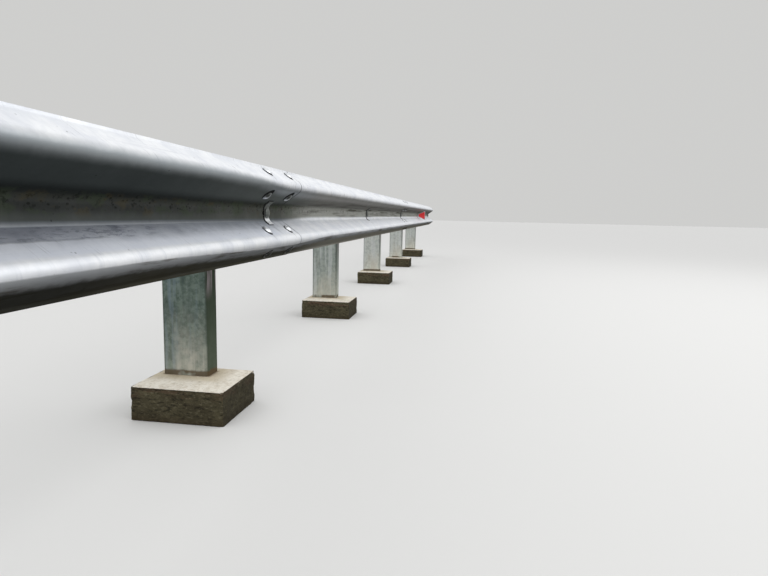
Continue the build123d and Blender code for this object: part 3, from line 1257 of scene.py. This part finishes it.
def add_light():
    """Soft overhead light: bright above, dim near the horizon; the camera sees a plain pale backdrop."""
    world = bpy.data.worlds.new("studio")
    bpy.context.scene.world = world
    shader = Shader(world)
    seen = shader.node("ShaderNodeLightPath", output="Is Camera Ray")
    _, _, height = shader.parts(shader.node("ShaderNodeTexCoord", output="Generated"))
    stops = (
        (0, (0.50, 0.51, 0.50, 1)),
        (0.08, (0.80, 0.80, 0.808, 1)),
        (0.30, (0.94, 0.94, 0.9494, 1)),
        (0.70, (1, 1, 1, 1)),
    )
    sky = shader.node("ShaderNodeValToRGB", {"stops": stops}, {"Fac": height})
    background = shader.tree.nodes["Background"]
    feed(background.inputs["Color"], shader.mix(sky, (0.62, 0.62, 0.61, 1), seen))

    clear_selection()
    bpy.ops.object.light_add(type="AREA", location=(-0.5, -4.6, 4.8), rotation=(radians(45), 0, 0))
    lamp = bpy.context.object
    lamp.name = "softbox"
    lamp.data.shape = "RECTANGLE"
    lamp.data.size = 10
    lamp.data.size_y = 4
    lamp.data.energy = 130


add_camera()
finishes = {
    "rail_zinc": rail_finish(),
    "post_zinc": post_finish(),
    "fitting_zinc": fitting_finish(),
    "concrete": concrete_finish(),
    "red_reflector": reflector_finish(),
}

rail = make_rail()
for index in range(rail_count):
    number = index + 1
    dress(copy_to(rail, f"two_wave_rail_{number}", rail_place(index)), "rail_zinc", f"rail_{number}")
discard(rail)

post = make_post()
block = make_blocking_piece()
footing = make_footing()
pocket = make_pocket_cutter()
coarse = rough_concrete("coarse", 0.035, 3)
fine = rough_concrete("fine", 0.009, 2)
for index in range(post_count):
    number = index + 1
    place = Matrix.Translation(post_place(index))
    dress(copy_to(post, f"channel_post_{number}", place), "post_zinc", f"post_{number}")
    dress(copy_to(block, f"block_channel_{number}", place), "post_zinc", f"blocking_piece_{number}")
    made = copy_to(footing, f"concrete_foot_{number}", place)
    roughen(made, post_place(index), coarse, fine)
    cut(made, [copy_to(pocket, "cutter", place)])
    smooth(made, 35)
    dress(made, "concrete", f"footing_{number}")
discard(post, block, footing, pocket)

# Fastener sets at each post: in the valley, through the rail, and between block and post
plate_washer = make_plate_washer()
bracket = make_bracket()
near_red = make_red_sheet(bracket_upright_x - red_sheet)
far_red = make_red_sheet(bracket_upright_x + bracket_plate)
nut_set = make_nut_set()
splice_bolt = make_button_bolt(2 * rail_sheet + lap_clearance)
hex_bolt = make_hex_bolt(2 * channel_plate + flat_washer_plate)
for index in range(post_count):
    number = index + 1
    seat = front_rail_place(index)
    if index in reflector_posts:
        head_depth = valley_seat + bracket_plate
        fitted = (
            (bracket, "bracket", "fitting_zinc", "reflector_bracket"),
            (near_red, "red_near", "red_reflector", "reflector_near"),
            (far_red, "red_far", "red_reflector", "reflector_far"),
        )
    else:
        head_depth = valley_seat + washer_plate
        fitted = ((plate_washer, "valley_washer", "fitting_zinc", "plate_washer"),)
    for master, name, slot, node in fitted:
        dress(copy_to(master, f"{name}_{number}", seat), slot, f"{node}_{number}")

    head_at = seat @ valley_place(0, head_depth)
    flange_y = post_place(index).y - post_width / 2 - block_depth + channel_plate
    nut_at = Matrix.Translation((head_at.translation.x, flange_y, rail_centre)) @ face_back
    post_bolt = make_button_bolt(flange_y - head_at.translation.y)
    pieces = [copy_to(post_bolt, "bolt", head_at), copy_to(nut_set, "nut", nut_at)]
    discard(post_bolt)
    dress(join(pieces, f"post_bolt_{number}"), "fitting_zinc")

    pieces = []
    for y, height in block_holes():
        for master, side, turn in ((hex_bolt, -1, face_front), (nut_set, 1, face_back)):
            centre = post_place(index) + Vector((0, y + side * channel_plate, height))
            pieces.append(copy_to(master, "bolt", Matrix.Translation(centre) @ turn))
    dress(join(pieces, f"block_bolts_{number}"), "fitting_zinc")

for index in splice_posts:
    number = index + 1
    seat = front_rail_place(index)
    heads, nuts = [], []
    for column, rise in splice_slots():
        heads.append(copy_to(splice_bolt, "bolt", seat @ slope_place(column, rise, rail_sheet)))
        behind = seat @ slope_place(column, rise, -rail_sheet - lap_clearance)
        nuts.append(copy_to(nut_set, "nut", behind @ Matrix.Rotation(pi, 4, "X")))
    dress(join(heads, f"splice_bolts_{number}"), "fitting_zinc")
    dress(join(nuts, f"splice_nuts_{number}"), "fitting_zinc")
discard(plate_washer, bracket, near_red, far_red, nut_set, splice_bolt, hex_bolt)

add_floor()
add_light()
bpy.context.scene.view_settings.view_transform = "Standard"
